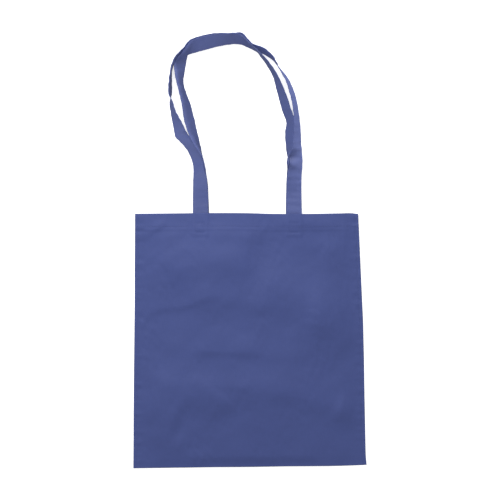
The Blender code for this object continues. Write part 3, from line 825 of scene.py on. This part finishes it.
for node, u in (("left_seam_thread", -SEAM_U), ("right_seam_thread", SEAM_U)):
    py = np.linspace(214.4, 464.6 if u > 0 else 466.0, 300)
    px = across(u, py)
    top_p, top_n = on_front(px, py)
    dn_p, dn_n = on_back(px, py, -1)
    thread_piece(node, [(top_p, top_n, STITCH), (dn_p, dn_n, STITCH)])


def box_path(cx):
    """The stitched rectangle, corner to corner, with points between."""
    corners = [(-1, -1), (1, -1), (1, 1), (-1, 1), (-1, -1)]
    lines = []
    for (ax, ay), (bx, by) in zip(corners[:-1], corners[1:]):
        t = np.linspace(0, 1, 16)
        lines.append((cx + mix(ax, bx, t) * BOX_W / 2 / UNIT,
                      BOX_MID + mix(ay, by, t) * BOX_L / 2 / UNIT))
    return lines


for k, label in enumerate(("left", "right")):
    rows_f, rows_b = [], []
    for lx, ly in box_path(HANDLES_AT[k]):
        p, n = on_front(lx, ly)
        rows_f.append((p, n, STITCH))
        p, n = on_back(lx, ly, -1)
        rows_b.append((p, n, STITCH))
        # inside the bag they hold the handle's end
        rows_f.append((at(lx, ly, np.full(lx.shape, Z_FRONT_IN)),
                       np.tile([0.0, 0.0, -1.0], (len(lx), 1)), STITCH))
        rows_b.append((at(lx, ly, np.full(lx.shape, Z_BACK_IN + 1.15 * MM)),
                       np.tile([0.0, 0.0, 1.0], (len(lx), 1)), STITCH))
    thread_piece(f"front_{label}_box_thread", rows_f)
    thread_piece(f"back_{label}_box_thread", rows_b)

cut = slice(9, -9)
thread_piece("front_handle_thread", [(f_out[cut], f_n[cut], STITCH),
                                     (f_in[cut], -f_n[cut], STITCH)])
thread_piece("back_handle_thread", [(b_out[cut], b_n[cut], STITCH),
                                    (b_in[cut], -b_n[cut], STITCH)])


# ------------------------------------------------------------------ materials
def node(tree, kind, x, y, **values):
    n = tree.nodes.new(kind)
    n.location = (x, y)
    for key, value in values.items():
        if key.startswith("in_"):
            n.inputs[key[3:].replace("_", " ")].default_value = value
        else:
            setattr(n, key, value)
    return n


def math_node(tree, op, a, b=None, c=None, x=0, y=0, clamp=False):
    n = tree.nodes.new("ShaderNodeMath")
    n.operation = op
    n.location = (x, y)
    n.use_clamp = clamp
    for k, value in enumerate((a, b, c)):
        if value is None:
            continue
        if isinstance(value, (int, float)):
            n.inputs[k].default_value = value
        else:
            tree.links.new(value, n.inputs[k])
    return n.outputs[0]


def nonwoven(name, colour, rough, sheen, bump, cloud):
    """Spunbond cloth: fibres at random, welded together in a pattern of small
    oval points."""
    m = bpy.data.materials.new(name)
    m.use_nodes = True
    tree = m.node_tree
    link = tree.links.new
    bsdf = tree.nodes["Principled BSDF"]
    uv = node(tree, "ShaderNodeUVMap", -1500, 0, uv_map="cloth")
    # welded points, 1.25 mm apart in staggered rows
    place = node(tree, "ShaderNodeMapping", -1300, 200)
    place.inputs["Rotation"].default_value = (0, 0, math.radians(45))
    place.inputs["Scale"].default_value = (1 / 0.00105, 1 / 0.00105, 1)
    link(uv.outputs["UV"], place.inputs["Vector"])
    points = node(tree, "ShaderNodeTexVoronoi", -1100, 200, voronoi_dimensions='2D',
                  feature='F1', distance='MINKOWSKI')
    points.inputs["Scale"].default_value = 1.0
    points.inputs["Randomness"].default_value = 0.10
    points.inputs["Exponent"].default_value = 2.6
    link(place.outputs["Vector"], points.inputs["Vector"])
    weld = node(tree, "ShaderNodeMapRange", -900, 200, interpolation_type='SMOOTHSTEP')
    weld.inputs["From Min"].default_value = 0.20
    weld.inputs["From Max"].default_value = 0.36
    weld.inputs["To Min"].default_value = 1.0
    weld.inputs["To Max"].default_value = 0.0
    link(points.outputs["Distance"], weld.inputs["Value"])
    # fibres
    grain = node(tree, "ShaderNodeMapping", -1300, -150)
    grain.inputs["Scale"].default_value = (1000.0, 700.0, 1.0)
    link(uv.outputs["UV"], grain.inputs["Vector"])
    fibre = node(tree, "ShaderNodeTexNoise", -1100, -150, noise_dimensions='2D')
    fibre.inputs["Scale"].default_value = 3.2
    fibre.inputs["Detail"].default_value = 3.0
    fibre.inputs["Roughness"].default_value = 0.62
    fibre.inputs["Distortion"].default_value = 1.4
    link(grain.outputs["Vector"], fibre.inputs["Vector"])
    # uneven density of the web, a few millimetres across, and broad drifts
    patchy = node(tree, "ShaderNodeTexNoise", -1100, -420, noise_dimensions='2D')
    patchy.inputs["Scale"].default_value = 150.0
    patchy.inputs["Detail"].default_value = 4.0
    patchy.inputs["Roughness"].default_value = 0.55
    link(uv.outputs["UV"], patchy.inputs["Vector"])
    broad = node(tree, "ShaderNodeTexNoise", -1100, -680, noise_dimensions='2D')
    broad.inputs["Scale"].default_value = 22.0
    broad.inputs["Detail"].default_value = 3.0
    link(uv.outputs["UV"], broad.inputs["Vector"])

    # colour: brighter and darker with the web's density, a shade deeper in welds
    t = math_node(tree, 'MULTIPLY_ADD', patchy.outputs["Fac"], cloud, 1.0 - cloud / 2, -800, -420)
    t = math_node(tree, 'MULTIPLY_ADD', broad.outputs["Fac"], cloud * 0.8, t, -620, -500)
    t = math_node(tree, 'SUBTRACT', t, cloud * 0.4, None, -480, -500)
    t = math_node(tree, 'MULTIPLY_ADD', fibre.outputs["Fac"], 0.10, t, -340, -420)
    t = math_node(tree, 'SUBTRACT', t, 0.05, None, -220, -420)
    t = math_node(tree, 'MULTIPLY_ADD', weld.outputs["Result"], -0.075, t, -100, -420)
    tint = node(tree, "ShaderNodeVectorMath", -60, -100, operation='SCALE')
    tint.inputs[0].default_value = colour
    link(t, tint.inputs["Scale"])
    link(tint.outputs["Vector"], bsdf.inputs["Base Color"])

    # the welded points are flatter and a little glossier
    r = math_node(tree, 'MULTIPLY_ADD', weld.outputs["Result"], -0.16, rough, -300, 100)
    r = math_node(tree, 'MULTIPLY_ADD', fibre.outputs["Fac"], 0.10, r, -150, 100)
    link(r, bsdf.inputs["Roughness"])

    h = math_node(tree, 'MULTIPLY', weld.outputs["Result"], -1.0, None, -600, 420)
    h = math_node(tree, 'MULTIPLY_ADD', fibre.outputs["Fac"], 0.75, h, -450, 420)
    h = math_node(tree, 'MULTIPLY_ADD', patchy.outputs["Fac"], 0.9, h, -300, 420)
    bumps = node(tree, "ShaderNodeBump", -100, 420)
    bumps.inputs["Strength"].default_value = bump
    bumps.inputs["Distance"].default_value = 0.00009
    link(h, bumps.inputs["Height"])
    link(bumps.outputs["Normal"], bsdf.inputs["Normal"])
    bsdf.inputs["Sheen Weight"].default_value = sheen
    bsdf.inputs["Sheen Roughness"].default_value = 0.45
    bsdf.inputs["Sheen Tint"].default_value = (0.86, 0.88, 1.0, 1.0)
    bsdf.inputs["Specular IOR Level"].default_value = 0.45
    return m


def thread_material(name, colour):
    """Spun sewing thread, with its plies' twist; its colour is painted darker in the grooves between
    the plies, as shade.
    """
    m = bpy.data.materials.new(name)
    m.use_nodes = True
    tree = m.node_tree
    link = tree.links.new
    bsdf = tree.nodes["Principled BSDF"]
    uv = node(tree, "ShaderNodeUVMap", -1100, 0, uv_map="cloth")
    split = node(tree, "ShaderNodeSeparateXYZ", -900, 0)
    link(uv.outputs["UV"], split.inputs["Vector"])
    a = math_node(tree, 'MULTIPLY', split.outputs["X"], 2 * math.pi / 0.00045, None, -720, 60)
    b = math_node(tree, 'MULTIPLY', split.outputs["Y"], 3 * 2 * math.pi / (THREAD * math.pi),
                  None, -720, -100)
    s = math_node(tree, 'ADD', a, b, None, -560, 0)
    s = math_node(tree, 'SINE', s, None, None, -420, 0)
    fuzz = node(tree, "ShaderNodeTexNoise", -720, -300, noise_dimensions='2D')
    fuzz.inputs["Scale"].default_value = 5200.0
    fuzz.inputs["Detail"].default_value = 3.0
    link(uv.outputs["UV"], fuzz.inputs["Vector"])
    # painted shade: the twist wave darkens the colour in the grooves between the plies, where the
    # bump below is lowest
    t = math_node(tree, 'MULTIPLY_ADD', s, 0.13, 0.93, -280, -120)
    t = math_node(tree, 'MULTIPLY_ADD', fuzz.outputs["Fac"], 0.16, t, -160, -200)
    tint = node(tree, "ShaderNodeVectorMath", -20, -120, operation='SCALE')
    tint.inputs[0].default_value = colour
    link(t, tint.inputs["Scale"])
    link(tint.outputs["Vector"], bsdf.inputs["Base Color"])
    h = math_node(tree, 'MULTIPLY_ADD', fuzz.outputs["Fac"], 0.5, s, -160, 260)
    bumps = node(tree, "ShaderNodeBump", -20, 260)
    bumps.inputs["Strength"].default_value = 0.5
    bumps.inputs["Distance"].default_value = 0.00005
    link(h, bumps.inputs["Height"])
    link(bumps.outputs["Normal"], bsdf.inputs["Normal"])
    bsdf.inputs["Roughness"].default_value = 0.55
    bsdf.inputs["Sheen Weight"].default_value = 0.2
    bsdf.inputs["Specular IOR Level"].default_value = 0.35
    return m


cloth_look = nonwoven("nonwoven_cloth", (0.0535, 0.0790, 0.260), 0.66, 0.06, 0.55, 0.085)
strap_look = nonwoven("nonwoven_strap", (0.0585, 0.0795, 0.232), 0.62, 0.05, 0.55, 0.09)
thread_look = thread_material("sewing_thread", (0.056, 0.081, 0.262))

bag_cloth.data.materials.append(cloth_look)
for ob in (front_handle, back_handle):
    ob.data.materials.append(strap_look)
for ob in thread_pieces.values():
    ob.data.materials.append(thread_look)

# --------------------------------------------------------------- on the frame
for ob, cad, slot in ((bag_cloth, "bag_body", "cloth"),
                      (front_handle, "front_handle", "strap"),
                      (back_handle, "back_handle", "strap")):
    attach(ob, "root")
    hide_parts(cad)
for cad, ob in thread_pieces.items():
    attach(ob, "root")
    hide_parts(cad)


# ------------------------------------------------------- floor, light, camera
me = bpy.data.meshes.new("floor")
me.from_pydata([(-6, -6, -0.0002), (6, -6, -0.0002), (6, 6, -0.0002), (-6, 6, -0.0002)], [],
               [(0, 1, 2, 3)])
floor = bpy.data.objects.new("floor", me)
bpy.context.scene.collection.objects.link(floor)
pale = bpy.data.materials.new("pale_floor")
pale.use_nodes = True
lit = pale.node_tree.nodes["Principled BSDF"]
lit.inputs["Base Color"].default_value = (0.88, 0.88, 0.88, 1.0)
lit.inputs["Roughness"].default_value = 0.9
lit.inputs["Specular IOR Level"].default_value = 0.0
# a light table: it keeps its own glow where the bag shades it
lit.inputs["Emission Color"].default_value = (1.0, 1.0, 1.0, 1.0)
lit.inputs["Emission Strength"].default_value = 0.70
me.materials.append(pale)
floor.visible_diffuse = False
floor.visible_glossy = False


def softbox(name, place, target, size_x, size_y, power, only=None):
    data = bpy.data.lights.new(name, 'AREA')
    data.shape = 'RECTANGLE'
    data.size, data.size_y = size_x, size_y
    data.energy = power
    ob = bpy.data.objects.new(name, data)
    bpy.context.scene.collection.objects.link(ob)
    way = Vector(target) - Vector(place)
    ob.location = place
    ob.rotation_euler = way.to_track_quat('-Z', 'Y').to_euler()
    if only is not None:
        ob.light_linking.receiver_collection = only
    return ob


handles = bpy.data.collections.new("handles")
for ob in (front_handle, back_handle, thread_pieces["front_handle_thread"],
           thread_pieces["back_handle_thread"]):
    handles.objects.link(ob)

softbox("key", (-0.40, 1.25, 1.15), (0.0, 0.0, 0.0), 1.2, 0.8, 25.5)
# a low strip, flagged off the bag, for the parts of the handles that stand on edge
softbox("low_right", (1.71, 1.79, 0.115), (0.0, 0.25, 0.01), 1.2, 0.16, 49, handles)
# fill for the sides of the strips that face each other
front_strip = bpy.data.collections.new("front_strip")
for ob in (front_handle, thread_pieces["front_handle_thread"]):
    front_strip.objects.link(ob)
for name, place, power, only in (("fill_left", (-1.75, -0.85, 0.5), 11.0, handles),
                                 ("fill_low", (0.1, -1.9, 0.5), 11.0, handles),
                                 ("fill_front", (-1.55, -1.15, 0.5), 8.0, front_strip),
                                 ("fill_right", (1.9, 0.0, 0.35), 12.0, handles)):
    fill = softbox(name, place, (0.0, 0.30, 0.01), 1.2, 0.4, power, only)
    fill.data.use_shadow = False

world = bpy.data.worlds.new("studio")
world.use_nodes = True
tree = world.node_tree
back = tree.nodes["Background"]
way = tree.nodes.new("ShaderNodeTexCoord")
split = tree.nodes.new("ShaderNodeSeparateXYZ")
tree.links.new(way.outputs["Generated"], split.inputs["Vector"])
ramp = tree.nodes.new("ShaderNodeMapRange")
ramp.interpolation_type = 'SMOOTHSTEP'
ramp.inputs["From Min"].default_value = -0.25
ramp.inputs["From Max"].default_value = 0.25
ramp.inputs["To Min"].default_value = 0.22
ramp.inputs["To Max"].default_value = 0.50
tree.links.new(split.outputs["Z"], ramp.inputs["Value"])
tree.links.new(ramp.outputs["Result"], back.inputs["Strength"])
back.inputs["Color"].default_value = (1, 1, 1, 1)
bpy.context.scene.world = world

cam_data = bpy.data.cameras.new("camera")
cam_data.sensor_width = 36.0
cam_data.lens = 36.0 * CAMERA_UP / (500 * UNIT)
cam_data.clip_end = 50.0
camera = bpy.data.objects.new("camera", cam_data)
bpy.context.scene.collection.objects.link(camera)
centre = at(249.5, 249.5)
camera.location = (float(centre[0]), float(centre[1]), CAMERA_UP)
camera.rotation_euler = (0.0, 0.0, 0.0)
bpy.context.scene.camera = camera

bpy.context.scene.view_settings.view_transform = 'Standard'
bpy.context.scene.view_settings.look = 'None'
